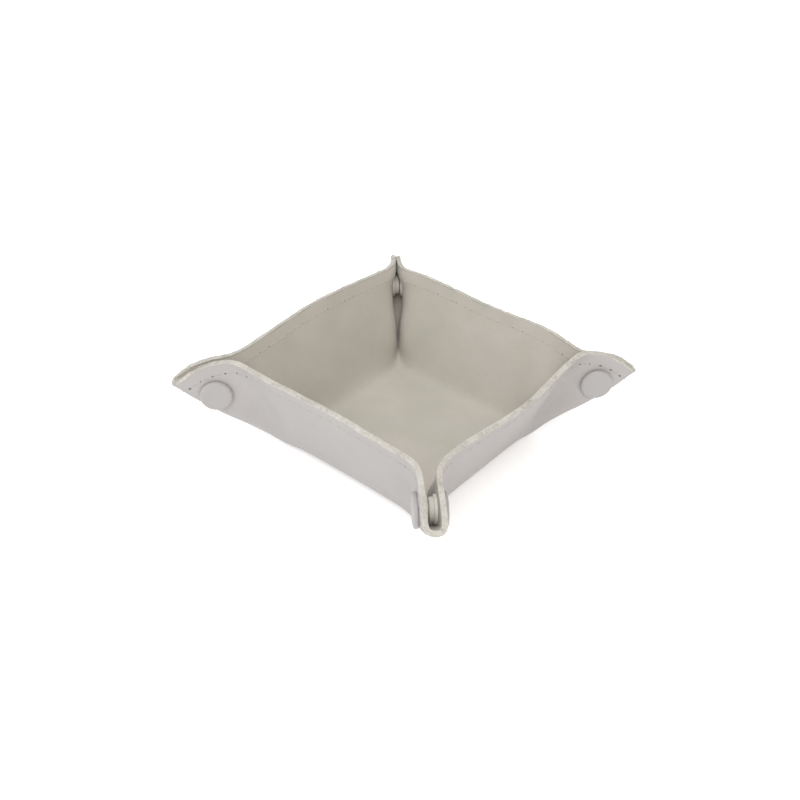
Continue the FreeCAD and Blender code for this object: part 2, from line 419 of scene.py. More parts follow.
def pinched(flat, place, corner):
    """How far a corner's two sides close up towards each other, beyond its press stud and below it."""
    _, aside = corner_frame(corner)
    x, y, along, from_fold = beside_crease(flat, corner)
    from_fold = np.abs(from_fold)
    slanted = along + TIP_PINCH_SLANT * from_fold
    beyond_snap = rise_from(slanted, CREASE_LENGTH - TIP_PINCH_FROM_END, CREASE_LENGTH)
    beyond_snap = beyond_snap * (1 - rise_from(from_fold, *TIP_PINCH_ASIDE))
    below_snap = rise_from(along, *CREASE_PINCH_RISE) * (1 - rise_from(along, *CREASE_PINCH_FADE))
    apart = place @ aside
    closing = TIP_PINCH[corner] * beyond_snap * TIP_PINCH_GAP * np.tanh(apart / TIP_PINCH_GAP)
    closing += CREASE_PINCH * below_snap * apart * np.exp(-(apart / CREASE_PINCH_GAP) ** 2)
    return -aside * (closing * ((x > 0) & (y > 0)))[:, None]


def waves(flat):
    """Slow unevenness of the leather, in millimetres, none of it on the base."""
    x, y = flat[:, 0], flat[:, 1]
    wave = sum(share * np.sin(turn_x * x + turn_y * y + start) for share, turn_x, turn_y, start in WAVES)
    from_base = np.maximum(np.abs(x), np.abs(y)) - HALF_BASE
    along = (np.abs(x) + np.abs(y) - 2 * HALF_BASE) / math.sqrt(2)
    calm = 1 - CREASE_CALM * rise_from(along, *CREASE_CALM_ALONG)
    return WAVINESS * wave * rise_from(from_base, *WAVES_FROM_BASE) * calm


def stray(flat, place, normal):
    """The real sheet's shift from the evenly folded one, at flat points."""
    moved = normal * waves(flat)[:, None]
    for quarter, wall in enumerate(WALLS):
        moved += wall_stray(flat, quarter, wall)
    for corner in TIP_STRAY:
        moved += corner_stray(flat, corner) + pinched(flat, place, corner)
        moved[:, 2] += ear_lifts(flat, corner)
    return moved


def normal_of(by_x, by_y):
    normal = np.cross(by_x, by_y)
    return normal / np.linalg.norm(normal, axis=-1)[..., None]


def fold_real(flat):
    place, by_x, by_y = fold_even(flat)
    return place + stray(flat, place, normal_of(by_x, by_y))


def slope(flat, step):
    """How the folded place changes per millimetre, along a flat step."""
    return (fold_real(flat + step) - fold_real(flat - step)) / (2 * math.hypot(*step))


class Surface:
    """Middle surface at any array of flat points: place, normal towards the lining, and slopes."""

    def __init__(self, flat):
        shape = flat.shape[:-1] + (3,)
        points = flat.reshape(-1, 2)
        self.flat = flat
        self.place = fold_real(points).reshape(shape)
        self.by_x = slope(points, (SLOPE_STEP, 0)).reshape(shape)
        self.by_y = slope(points, (0, SLOPE_STEP)).reshape(shape)
        self.normal = normal_of(self.by_x, self.by_y)

    def direction(self, heading):
        """Unit vectors along the surface for flat headings (x, y)."""
        along = heading[..., :1] * self.by_x + heading[..., 1:] * self.by_y
        return along / np.linalg.norm(along, axis=-1)[..., None]

    def level(self, height):
        """Places at one or more heights in the sheet's thickness, counted from its outer face."""
        return self.place + self.normal * (height - THICKNESS / 2)


# ---------------------------------------------------------------- the grid of the flat sheet
# The base is one square piece. Each wall's grid starts at its edge, inside the base, and runs over the
# fold to the rim, between the two diagonals.

def path_point(distance, inset=0.0):
    """Flat octant point and outward heading of a line inside the rim, from the middle of a wall."""
    straight = HALF_BASE + ARC_CENTRE
    radius = CORNER_RADIUS - inset
    if distance <= straight:
        return np.array([distance, WALL_WIDTH - inset]), np.array([0.0, 1.0])
    turn = (distance - straight) / radius
    heading = np.array([math.sin(turn), math.cos(turn)])
    return np.array([straight, ARC_CENTRE]) + radius * heading, heading


def rim_length_to(aside):
    """How far along the rim the line runs that is parallel to the diagonal, this far from it."""
    return HALF_BASE + ARC_CENTRE + CORNER_RADIUS * (math.pi / 4 - math.asin(aside / CORNER_RADIUS))


def front_path(distances, inset=0.0):
    """Front wall points and outward headings, flat, at signed distances from its middle."""
    found = [path_point(abs(d), inset) for d in distances]
    sign = np.where(np.asarray(distances) < 0, -1.0, 1.0)
    points = np.array([p for p, _ in found])
    headings = np.array([h for _, h in found])
    return (np.column_stack([sign * points[:, 0], -HALF_BASE - points[:, 1]]),
            np.column_stack([sign * headings[:, 0], -headings[:, 1]]))


def half_columns():
    """(place on the base's edge, place along the rim) of each grid column, from a wall's middle."""
    crease_base = HALF_BASE - CREASE_HALF_WIDTH * math.sqrt(2)
    crease_rim = rim_length_to(CREASE_HALF_WIDTH)
    result = [(WALL_END_BASE * k / WALL_CELLS, WALL_END_RIM * k / WALL_CELLS) for k in range(WALL_CELLS)]
    for k in range(EAR_CELLS):
        share = k / EAR_CELLS
        result.append((WALL_END_BASE + (crease_base - WALL_END_BASE) * share,
                       WALL_END_RIM + (crease_rim - WALL_END_RIM) * share))
    for k in range(CREASE_CELLS + TONGUE_CELLS + 1):
        aside = CREASE_HALF_WIDTH * (1 - k / CREASE_CELLS)
        result.append((HALF_BASE - aside * math.sqrt(2), rim_length_to(aside)))
    return result


def front_grid():
    """Flat points of the front wall's grid, (row, column, xy)."""
    half = np.array(half_columns())
    both = np.vstack([-half[:0:-1], half])
    edge = both[:, 0]
    rim, _ = front_path(both[:, 1])
    inside = np.linspace(-MARGIN, 0, MARGIN_ROWS + 1)[:-1, None]
    share = np.linspace(0, 1, ROWS + 1)[:, None]
    x = np.vstack([edge * (HALF_BASE + inside) / HALF_BASE, edge * (1 - share) + rim[:, 0] * share])
    y = np.vstack([-HALF_BASE - inside + 0 * edge, -HALF_BASE * (1 - share) + rim[:, 1] * share])
    return np.stack([x, y], axis=2)


def base_grid():
    line = np.linspace(-1, 1, BASE_CELLS + 1) * (HALF_BASE - MARGIN)
    x, y = np.meshgrid(line, -line)
    return np.stack([x, y], axis=2)


HALF_COUNT = WALL_CELLS + EAR_CELLS + CREASE_CELLS + TONGUE_CELLS


def cells_of(part, side):
    """Which cells of a wall's grid belong to its wall piece, or to the ear or crease at one end."""
    row, column = np.indices((MARGIN_ROWS + ROWS, 2 * HALF_COUNT))
    from_middle = np.where(column >= HALF_COUNT, column - HALF_COUNT, HALF_COUNT - 1 - column)
    beside = ((column >= HALF_COUNT) == (side > 0)) & (row >= MARGIN_ROWS)
    if part == "wall":
        return (from_middle < WALL_CELLS) | ((row < MARGIN_ROWS) & (from_middle < HALF_COUNT - TONGUE_CELLS))
    if part == "ear":
        return beside & (from_middle >= WALL_CELLS) & (from_middle < WALL_CELLS + EAR_CELLS)
    return beside & (from_middle >= WALL_CELLS + EAR_CELLS) & (from_middle < HALF_COUNT - TONGUE_CELLS)


# ---------------------------------------------------------------- meshes

def mesh_object(name, vertices, faces):
    """A smooth-shaded object from vertices in millimetres."""
    mesh = bpy.data.meshes.new(name)
    mesh.from_pydata((np.asarray(vertices) * MM).tolist(), [], [tuple(int(v) for v in f) for f in faces])
    mesh.shade_smooth()
    obj = bpy.data.objects.new(name, mesh)
    bpy.context.scene.collection.objects.link(obj)
    return obj


def cell_corners(grid, cells):
    """The values at the four corners of each chosen cell of a grid, in order round it."""
    return np.stack([grid[:-1, :-1], grid[:-1, 1:], grid[1:, 1:], grid[1:, :-1]], axis=2)[cells]


def plate(skin, cells, low, high):
    """Vertices, faces and corner normals of a closed plate over chosen cells, between two heights."""
    rows, count = skin.flat.shape[:2]
    quads = cell_corners(np.arange(rows * count).reshape(rows, count), cells)
    used, quads = np.unique(quads, return_inverse=True)
    quads = quads.reshape(-1, 4)
    size = len(used)
    vertices = np.vstack([skin.level(level[..., None]).reshape(-1, 3)[used] for level in (low, high)])
    normal = skin.normal.reshape(-1, 3)[used]
    edges = {(a, b) for quad in quads.tolist() for a, b in zip(quad, quad[1:] + quad[:1])}
    border = sorted((a, b) for a, b in edges if (b, a) not in edges)
    faces = np.vstack([quads, quads[:, ::-1] + size, [[b, a, a + size, b + size] for a, b in border]])
    corner_normals = np.vstack([-normal[quads].reshape(-1, 3), normal[quads[:, ::-1]].reshape(-1, 3),
                                np.zeros((4 * len(border), 3))])
    return vertices, faces, corner_normals


def ring_numbers(cells):
    """0 for chosen cells, then 1, 2 and so on for the cells round them, up to the tongues' reach."""
    rings = np.where(cells, 0, TONGUE_CELLS + 1)
    for number in range(1, TONGUE_CELLS + 1):
        near = np.pad(rings, 1, constant_values=TONGUE_CELLS + 1)
        beside = [near[:-2, 1:-1], near[2:, 1:-1], near[1:-1, :-2], near[1:-1, 2:]]
        touched = np.minimum.reduce(beside) < number
        rings = np.where(touched & (rings > number), number, rings)
    return rings


def at_points(rings):
    """The smallest ring number of the cells round each grid point."""
    near = np.pad(rings, 1, mode="edge")
    return np.minimum.reduce([near[:-1, :-1], near[:-1, 1:], near[1:, :-1], near[1:, 1:]])


def rings_of(part, side):
    """Ring numbers round a piece. A tongue of an ear or crease in the base would lift out on opening."""
    rings = ring_numbers(cells_of(part, side))
    if part != "wall":
        rings[:MARGIN_ROWS] = TONGUE_CELLS + 1
    return rings


def ply_object(name, skin, rings, low, high):
    """One ply over the cells of ring 0, with a thinner tongue over the other rings, inside its neighbours."""
    even = np.zeros(skin.flat.shape[:2])
    shells = [plate(skin, rings == 0, even + low, even + high)]
    if (rings > 0).any():
        root, end = TONGUE_INSET
        inset = root + (end - root) * at_points(rings) / TONGUE_CELLS
        shells.append(plate(skin, (rings > 0) & (rings <= TONGUE_CELLS), low + inset, high - inset))
    faces = []
    start = 0
    for vertices, plate_faces, _ in shells:
        faces.append(plate_faces + start)
        start += len(vertices)
    obj = mesh_object(name, np.vstack([shell[0] for shell in shells]), np.vstack(faces))
    obj.data.normals_split_custom_set(np.vstack([shell[2] for shell in shells]).tolist())
    return obj


def tubes_object(name, tubes):
    """One object of closed tubes, each through rings of as many points and capped at its ends."""
    vertices = []
    faces = []
    for rings in tubes:
        start = sum(len(v) for v in vertices)
        count, around = rings.shape[:2]
        vertices.append(rings.reshape(-1, 3))
        for ring in range(count - 1):
            for k in range(around):
                a = start + ring * around + k
                b = start + ring * around + (k + 1) % around
                faces.append((a, b, b + around, a + around))
        last = start + (count - 1) * around
        faces.append(tuple(range(start + around - 1, start - 1, -1)))
        faces.append(tuple(range(last, last + around)))
    return mesh_object(name, np.vstack(vertices), faces)


# ---------------------------------------------------------------- materials
# Scales of the noises are turns per metre, and distances of the bumps are metres.

LEATHER = (0.390, 0.374, 0.366)
SUEDE = (0.444, 0.423, 0.370)
EDGE = (0.505, 0.487, 0.442)
OUTER_THREAD = (0.395, 0.379, 0.37)
INNER_THREAD = (0.44, 0.42, 0.375)
# The needle holes' colour is painted shade: a dark lens stands in for the shade down in each hole.
HOLE_PAINTED_SHADE = (0.15, 0.14, 0.13)
SNAP = (0.365, 0.355, 0.349)
# The studs and sockets are made about twice as light as the caps: painted light, against the shade deep in
# the corners where they sit.
INNER_SNAP_PAINTED_LIGHT = (0.78, 0.76, 0.70)
SUEDE_DARK_TINT = (0.985, 1.01, 0.99)
SUEDE_PALE_TINT = (1.015, 0.99, 1.02)


def new_material(name, color, roughness, **sockets):
    """A principled material with its even values set on the shader's own sockets."""
    material = bpy.data.materials.new(name)
    material.use_nodes = True
    shader = material.node_tree.nodes["Principled BSDF"]
    shader.inputs["Base Color"].default_value = (*color, 1)
    shader.inputs["Roughness"].default_value = roughness
    for socket, value in sockets.items():
        shader.inputs[socket.replace("_", " ")].default_value = value
    return material, shader


def add(material, kind, **values):
    """A node with its inputs or settings filled in."""
    node = material.node_tree.nodes.new(kind)
    for key, value in values.items():
        if key in node.inputs:
            node.inputs[key].default_value = value
        else:
            setattr(node, key, value)
    return node


def link(material, source, target):
    material.node_tree.links.new(source, target)


def coordinates(material):
    """Object coordinates: metres in the tray's own frame."""
    return add(material, "ShaderNodeTexCoord").outputs["Object"]


def noise(material, scale, detail=2.0, roughness=0.5):
    node = add(material, "ShaderNodeTexNoise", Scale=scale, Detail=detail, Roughness=roughness)
    link(material, coordinates(material), node.inputs["Vector"])
    return node.outputs["Fac"]


def mix_color(material, factor, low, high, low_at=0.3, high_at=0.7):
    """A colour that follows a 0 to 1 value between two colours."""
    ramp = add(material, "ShaderNodeValToRGB")
    ramp.color_ramp.elements[0].position = low_at
    ramp.color_ramp.elements[0].color = (*low, 1)
    ramp.color_ramp.elements[1].position = high_at
    ramp.color_ramp.elements[1].color = (*high, 1)
    link(material, factor, ramp.inputs["Fac"])
    return ramp.outputs["Color"]


def shades(color, share):
    """A colour made darker, and made lighter, by a share."""
    return [tuple(c * (1 + change) for c in color) for change in (-share, share)]


def tinted(color, tint):
    return tuple(c * t for c, t in zip(color, tint))


def mottled(name, color, roughness, share, scale, detail=2.0):
    """A principled material whose colour wanders by a share, darker and lighter."""
    material, shader = new_material(name, color, roughness)
    color = mix_color(material, noise(material, scale, detail), *shades(color, share))
    link(material, color, shader.inputs["Base Color"])
    return material, shader


def bumps(material, shader, layers):
    """Stack bumps of (height output, distance in metres, strength) under the shader's normal."""
    previous = None
    for height, distance, strength in layers:
        bump = add(material, "ShaderNodeBump", Distance=distance, Strength=strength)
        link(material, height, bump.inputs["Height"])
        if previous:
            link(material, previous, bump.inputs["Normal"])
        previous = bump.outputs["Normal"]
    link(material, previous, shader.inputs["Normal"])


def leather_material():
    material, shader = mottled("outer_leather", LEATHER, 0.6, 0.035, 40.0, 4.0)
    pebble = add(material, "ShaderNodeTexVoronoi", Scale=1500.0, feature="SMOOTH_F1")
    link(material, coordinates(material), pebble.inputs["Vector"])
    bumps(material, shader, [(noise(material, 110.0, 3.0), 0.0003, 0.3),
                             (pebble.outputs["Distance"], 0.00008, 0.5)])
    return material


def suede_material():
    material, shader = new_material("lining_suede", SUEDE, 0.95, Sheen_Weight=0.2, Sheen_Roughness=0.6)
    low, high = shades(SUEDE, 0.06)
    color = mix_color(material, noise(material, 28.0, 6.0, 0.6), tinted(low, SUEDE_DARK_TINT),
                      tinted(high, SUEDE_PALE_TINT), 0.35, 0.65)
    link(material, color, shader.inputs["Base Color"])
    bumps(material, shader, [(noise(material, 200.0, 3.0), 0.0003, 0.3),
                             (noise(material, 2400.0, 3.0), 0.00012, 0.8)])
    return material


def edge_material():
    """Pale fibres, greyer in random patches, and darker in the low cracks of the fibres' bump, which is
    painted shade.
    """
    material, shader = new_material("cut_edge", EDGE, 0.95)
    low, high = shades(EDGE, 0.14)
    fibre_relief_and_crack_shade = noise(material, 900.0, 4.0, 0.7)
    broad = noise(material, 160.0, 3.0)
    # The fibres' bump noise also darkens the colour in its low cracks: painted shade.
    both = add(material, "ShaderNodeMix", Factor=0.5)
    link(material, fibre_relief_and_crack_shade, both.inputs["A"])
    link(material, broad, both.inputs["B"])
    color = mix_color(material, both.outputs["Result"], low, high, 0.38, 0.62)
    link(material, color, shader.inputs["Base Color"])
    bumps(material, shader, [(fibre_relief_and_crack_shade, 0.0003, 0.9)])
    return material


def thread_material(name, color):
    material, shader = mottled(name, color, 0.85, 0.06, 1500.0)
    bumps(material, shader, [(noise(material, 4000.0), 0.00005, 0.6)])
    return material


def snap_material(name, color, roughness):
    material, shader = mottled(name, color, roughness, 0.015, 90.0)
    bumps(material, shader, [(noise(material, 3000.0, 2.0), 0.00003, 0.35)])
    return material


MATERIALS = {"outer": leather_material(), "lining": suede_material(), "edge": edge_material(),
             "outer_thread": thread_material("outer_thread", OUTER_THREAD),
             "inner_thread": thread_material("inner_thread", INNER_THREAD),
             # The needle holes' material is painted shade, as dark as the inside of a hole.
             "hole": mottled("painted_hole_shade", HOLE_PAINTED_SHADE, 0.95, 0.3, 900.0)[0],
             "snap": snap_material("snap_plastic", SNAP, 0.45),
             # Studs and sockets: painted light, lighter than the caps' plastic.
             "inner_snap": snap_material("inner_snap_painted_light", INNER_SNAP_PAINTED_LIGHT, 0.4)}


def finish_as(obj, kind):
    obj.data.materials.clear()
    obj.data.materials.append(MATERIALS[kind])


# ---------------------------------------------------------------- the pieces' tags, and the bands at their folds

def end_tag(wall, side):
    return wall + "_" + END_NAMES[wall][side > 0]


def part_tag(part, wall, side):
    return part + "_" + (wall if part == "wall" else end_tag(wall, side))


def sign_to(vector, towards):
    """A vector or its opposite, whichever points the given way."""
    return vector if np.dot(vector, towards) > 0 else -np.asarray(vector)


def row_frame(vector, quarter, side):
    """An octant vector as a row frame one, at one end of a wall."""
    return turned(np.array([side * vector[0], -vector[1], vector[2]]), quarter)


def band(point, heading_before, heading_after, half_width, quarter, side):
    """Start and end, in metres, of the band at a fold between one body and the next."""
    heading = unit(unit(heading_before) + unit(heading_after))
    ends = (point - heading * half_width, point + heading * half_width)
    return [tuple(row_frame(end, quarter, side) * MM) for end in ends]


def follow(obj, part, wall, side):
    """Work out the band at a piece's fold, between the two bodies that meet there, and bake the piece's
    transform; the band is not used.
    """
    quarter = WALLS.index(wall)
    foot = NET_POINTS[part + "_foot"][1]
    if part == "wall":
        wall_up = (0, math.cos(WALL_TILT), math.sin(WALL_TILT))
        start, end = band(foot, (0, 1, 0), wall_up, WALL_BAND, quarter, side)
        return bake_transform(obj)
    wall_normal = np.array((0, math.sin(WALL_TILT), -math.cos(WALL_TILT)))
    ear_normal = unit((-1, 1, 0))
    if part == "ear":
        from_wall = np.cross(wall_normal, EAR_DIRECTION)
        from_ear = np.cross(ear_normal, EAR_DIRECTION)
        start, end = band(foot, sign_to(from_wall, (1, 0, 0)), sign_to(from_ear, (1, 1, 0)), EAR_BAND,
                          quarter, side)
        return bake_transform(obj)
    crease_normal = np.cross(CREASE_DIRECTION, (1, -1, 0))
    down_ear = sign_to(np.cross(ear_normal, CREASE_DIRECTION), (0, 0, -1))
    across = sign_to(np.cross(crease_normal, CREASE_DIRECTION), (1, -1, 0))
    start, end = band(foot, down_ear, across, CREASE_BAND, quarter, side)
    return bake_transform(obj)


# ---------------------------------------------------------------- the sheet

# Each ply with its lower and upper height in the sheet, and each part of a wall with the end it is at
PLIES = (("outer", 0.0, OUTER_PLY), ("lining", OUTER_PLY, THICKNESS))
PARTS = (("wall", 1), ("ear", -1), ("ear", 1), ("crease", -1), ("crease", 1))


def make_base():
    skin = Surface(base_grid())
    rings = np.zeros((BASE_CELLS, BASE_CELLS), int)
    for ply, low, high in PLIES:
        obj = ply_object(ply + "_base_panel", skin, rings, low, high)
        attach(obj, "base")
        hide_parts(ply + "_base")
        finish_as(obj, ply)


def flat_size(flat, cells):
    """Size (x, y) in metres, and area in square metres, of chosen cells laid flat."""
    quads = cell_corners(flat, cells)
    across = quads[:, 2] - quads[:, 0]
    back = quads[:, 3] - quads[:, 1]
    area = np.abs(across[:, 0] * back[:, 1] - across[:, 1] * back[:, 0]).sum() / 2
    points = quads.reshape(-1, 2)
    size = points.max(axis=0) - points.min(axis=0)
    return tuple(size * MM), area * MM * MM


def make_panels(skin, wall):
    """Both plies of one wall, its two ears and its two creases. The flat sizes take in the tongues."""
    for ply, low, high in PLIES:
        for part, side in PARTS:
            tag = part_tag(part, wall, side)
            obj = ply_object(ply + "_" + tag + "_panel", skin, rings_of(part, side), low, high)
            follow(obj, part, wall, side)
            finish_as(obj, ply)
            if part != "crease":
                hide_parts(ply + "_" + tag)
            elif ply == "outer":
                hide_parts(tag)
        for part, side in PARTS:
            if part != "crease":
                size, area = flat_size(skin.flat, rings_of(part, side) <= TONGUE_CELLS)


# ---------------------------------------------------------------- the cut edge

RIM_STEP = 0.42
RIM_SIDES = 13
RIM_ROOT = 0.4                  # how far inside the sheet's edge the rim starts
RIM_BULGE = 0.30
RIM_SQUARENESS = 0.6            # 1 for a round rim, less for a squarer one
RIM_GROOVE = 0.10               # between the plies
RIM_GROOVE_WIDTH = 0.16
RIM_LEAST = 0.08
RIM_WANDER = 0.42
RIM_WANDER_STATIONS = 7         # over which it is smoothed
RIM_FADE_STATIONS = 4           # over which it fades at the ends of each part
RIM_ROUGHNESS = 0.10
RIM_ROUGHNESS_AT_FACES = 0.4    # as a share of that in the middle
FIBRES_PER_STATION = 3.0
FIBRE_FROM_FACES = 0.1          # at least
FIBRE_SHIFT = 0.3               # along the edge, either way
FIBRE_LENGTHS = (0.35, 1.0)
FIBRE_OUTLINE = ((0.0, 0.05), (0.6, 0.035), (1.0, 0.01))    # share of the length, radius
FIBRE_CORNERS = (0, 2.1, 4.2)
FIBRE_BEND = 0.12
FIBRE_SPREAD = (0.7, 0.9)       # across the sheet and along its edge


def rim_span(part, side):
    """Signed distances along the rim that a part takes up."""
    ends = {"wall": (-WALL_END_RIM, WALL_END_RIM),
            "ear": (WALL_END_RIM, rim_length_to(CREASE_HALF_WIDTH)),
            "crease": (rim_length_to(CREASE_HALF_WIDTH), rim_length_to(0.0))}[part]
    return ends if side > 0 else (-ends[1], -ends[0])


def rim_section():
    """Heights in the sheet, from the outer face to the lining, and the cut edge's reach at each."""
    turns = np.linspace(0, math.pi, RIM_SIDES)
    heights = THICKNESS / 2 - THICKNESS / 2 * np.cos(turns)
    groove = np.exp(-((heights - OUTER_PLY) / RIM_GROOVE_WIDTH) ** 2)
    return heights, RIM_BULGE * np.sin(turns) ** RIM_SQUARENESS - RIM_GROOVE * groove


def rim_rings(skin, outwards, random):
    """Rings of points round the cut edge at each station, roughened like torn fibres."""
    count = len(skin.flat)
    heights, reaches = rim_section()
    steady = np.ones(RIM_WANDER_STATIONS) / RIM_WANDER_STATIONS
    slow = np.convolve(random.normal(0, 1, count + RIM_WANDER_STATIONS - 1), steady, "valid") * RIM_WANDER
    slow *= np.minimum(1, np.minimum(np.arange(count), np.arange(count)[::-1]) / RIM_FADE_STATIONS)
    rings = [skin.level(0.0) - outwards * RIM_ROOT]
    for height, reach in zip(heights, reaches):
        rough = random.normal(0, RIM_ROUGHNESS, (count, 2))
        rough[[0, -1]] = 0
        share = np.sin(math.pi * height / THICKNESS)
        unevenness = RIM_ROUGHNESS_AT_FACES + (1 - RIM_ROUGHNESS_AT_FACES) * share
        out = np.maximum(reach + (slow + rough[:, 0]) * unevenness, RIM_LEAST * share)
        up = rough[:, 1] * share / 2
        rings.append(skin.level(height) + skin.normal * up[:, None] + outwards * out[:, None])
    rings.append(skin.level(THICKNESS) - outwards * RIM_ROOT)
    return np.stack(rings, axis=1)


def fibres(skin, outwards, random):
    """Loose fibres standing off the cut edge, as thin spikes."""
    spikes = []
    onwards = np.cross(skin.normal, outwards)
    for _ in range(int(len(skin.flat) * FIBRES_PER_STATION)):
        k = random.integers(2, len(skin.flat) - 2)
        up = skin.normal[k]
        height = random.uniform(FIBRE_FROM_FACES, THICKNESS - FIBRE_FROM_FACES)
        shift = random.uniform(-FIBRE_SHIFT, FIBRE_SHIFT)
        root = skin.place[k] + up * (height - THICKNESS / 2) + onwards[k] * shift
        lean_up, lean_on = (random.normal(0, spread) for spread in FIBRE_SPREAD)
        lean = unit(outwards[k] + up * lean_up + onwards[k] * lean_on)
        side = unit(np.cross(lean, up + 0.1 * onwards[k]))
        front = np.cross(lean, side)
        length = random.uniform(*FIBRE_LENGTHS)
        rings = []
        for share, radius in FIBRE_OUTLINE:
            middle = root + lean * length * share + front * FIBRE_BEND * share ** 2
            rings.append([middle + radius * (math.cos(turn) * side + math.sin(turn) * front)
                          for turn in FIBRE_CORNERS])
        spikes.append(np.array(rings))
    return spikes


def make_rim(wall):
    """The raw cut edge of the two plies, in the same parts as the panels."""
    quarter = WALLS.index(wall)
    random = np.random.default_rng(40 + quarter)
    for part, side in PARTS:
        start, end = rim_span(part, side)
        distances = np.linspace(start, end, int(abs(end - start) / RIM_STEP) + 2)
        points, headings = front_path(distances)
        skin = Surface(turned(points, quarter))
        outwards = skin.direction(turned(headings, quarter))
        tubes = [rim_rings(skin, outwards, random)] + fibres(skin, outwards, random)
        obj = tubes_object("cut_edge_" + part_tag(part, wall, side), tubes)
        follow(obj, part, wall, side)
        finish_as(obj, "edge")


# ---------------------------------------------------------------- stitching

STITCH_LENGTH = 3.5
STITCH_RADIUS = 0.22
STITCH_LIFT = -0.06             # of a stitch's middle line above the face
STITCH_DIVE = 0.42              # how far lower its ends are
STITCH_THINNING = 0.5           # of its radius, at its ends
TWIST_DEPTH = 0.12              # of the thread's two strands, as a share of the radius
TWIST_TURN = 10.0               # from a stitch's middle to its end
STITCH_SIDES = 10
STITCH_STATIONS = 13
HOLE_STRETCH = (0.8, 1.2)       # across the line of stitches and along it
HOLE_RINGS = ((-0.12, 0.7), (0.02, 1.0), (0.04, 0.6))       # height above the face, share of the radius
OUTER_HOLE_RADII = (0.06, 0.20)
LINING_HOLE_RADII = (0.05, 0.28)
EAR_HOLE_RADII = (0.32, 0.50)   # on the ears' outer faces, where the thread has pulled the holes open


def part_at(distance):
    """Which part of a wall the line of stitches is on, this far from the wall's middle."""
    point, _ = path_point(distance, STITCH_INSET)
    if (point[1] - point[0] + HALF_BASE) / math.sqrt(2) < CREASE_HALF_WIDTH:
        return "crease"
    wall_end = WALL_END_BASE + (WALL_END_RIM - WALL_END_BASE) * point[1] / WALL_WIDTH
    return "wall" if point[0] < wall_end else "ear"


def stitch_pitch():
    half_side = HALF_BASE + ARC_CENTRE + (CORNER_RADIUS - STITCH_INSET) * math.pi / 4
    return half_side / STITCHES_PER_HALF_SIDE


def hole_radii(part, up):
    if up > 0:
        return LINING_HOLE_RADII
    return EAR_HOLE_RADII if part == "ear" else OUTER_HOLE_RADII


def make_stitch(wall, distance, face, up):
    """One stitch as rings along the sheet's surface, diving into it at both ends."""
    quarter = WALLS.index(wall)
    share = np.linspace(-1, 1, STITCH_STATIONS)
    points, headings = front_path(distance + share * STITCH_LENGTH / 2, STITCH_INSET)
    skin = Surface(turned(points, quarter))
    aside = skin.direction(turned(headings, quarter))
    normal = skin.normal * up
    lift = STITCH_LIFT - STITCH_DIVE * share ** 4
    radius = STITCH_RADIUS * (1 - STITCH_THINNING * share ** 4)
    rings = []
    for k in range(STITCH_SIDES):
        turn = 2 * math.pi * k / STITCH_SIDES
        twist = radius * (1 + TWIST_DEPTH * np.cos(2 * turn + TWIST_TURN * share))
        rings.append(skin.level(face) + normal * (lift + twist * math.sin(turn))[:, None]
                     + aside * (twist * math.cos(turn))[:, None])
    return np.stack(rings, axis=1)


def make_hole(wall, distance, face, up, radius):
    """A needle hole, as a flat lens set in the surface and coloured dark: painted shade for the hole's depth.
    """
    quarter = WALLS.index(wall)
    points, headings = front_path([distance], STITCH_INSET)
    skin = Surface(turned(points, quarter))
    outwards = skin.direction(turned(headings, quarter))[0]
    normal = skin.normal[0] * up
    onwards = np.cross(normal, outwards)
    turns = np.linspace(0, 2 * math.pi, STITCH_SIDES, endpoint=False)
    across, along = HOLE_STRETCH
    circle = np.outer(np.cos(turns), outwards) * across + np.outer(np.sin(turns), onwards) * along
    return np.stack([skin.level(face)[0] + normal * height + circle * radius * size
                     for height, size in HOLE_RINGS])


def make_stitching(wall):
    """Stitches and needle holes along one wall's rim, on both faces, grouped by the part they are on."""
    groups = {}

    def group(part, side, kind):
        return groups.setdefault((part, 1 if part == "wall" else side, kind), [])

    pitch = stitch_pitch()
    random = np.random.default_rng(60 + WALLS.index(wall))
    for face, up, face_name in ((0.0, -1, "outer"), (THICKNESS, 1, "inner")):
        for number in range(STITCHES_PER_HALF_SIDE):
            for side in (-1, 1):
                distance = (number + 0.5) * pitch
                group(part_at(distance), side, face_name).append(make_stitch(wall, side * distance, face, up))
                if number < STITCHES_PER_HALF_SIDE - 1:
                    distance = (number + 1) * pitch
                    part = part_at(distance)
                    radius = random.uniform(*hole_radii(part, up))
                    group(part, side, "hole").append(make_hole(wall, side * distance, face, up, radius))
    for (part, side, kind), tubes in groups.items():
        tag = part_tag(part, wall, side)
        # Needle holes are dark lenses of painted shade.
        name = "needle_holes_" + tag if kind == "hole" else "stitching_" + kind + "_" + tag
        obj = tubes_object(name, tubes)
        follow(obj, part, wall, side)
        finish_as(obj, kind if kind == "hole" else kind + "_thread")
        if kind == "outer" and part == "wall":
            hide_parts("stitching_" + wall)


# ---------------------------------------------------------------- press studs

STUD_FROM_TIP = 14.5
STUD_ABOVE_CREASE = 5.4
SNAP_SIDES = 72
LEAST_RADIUS = 0.02             # of a turned outline, where it would close in a point

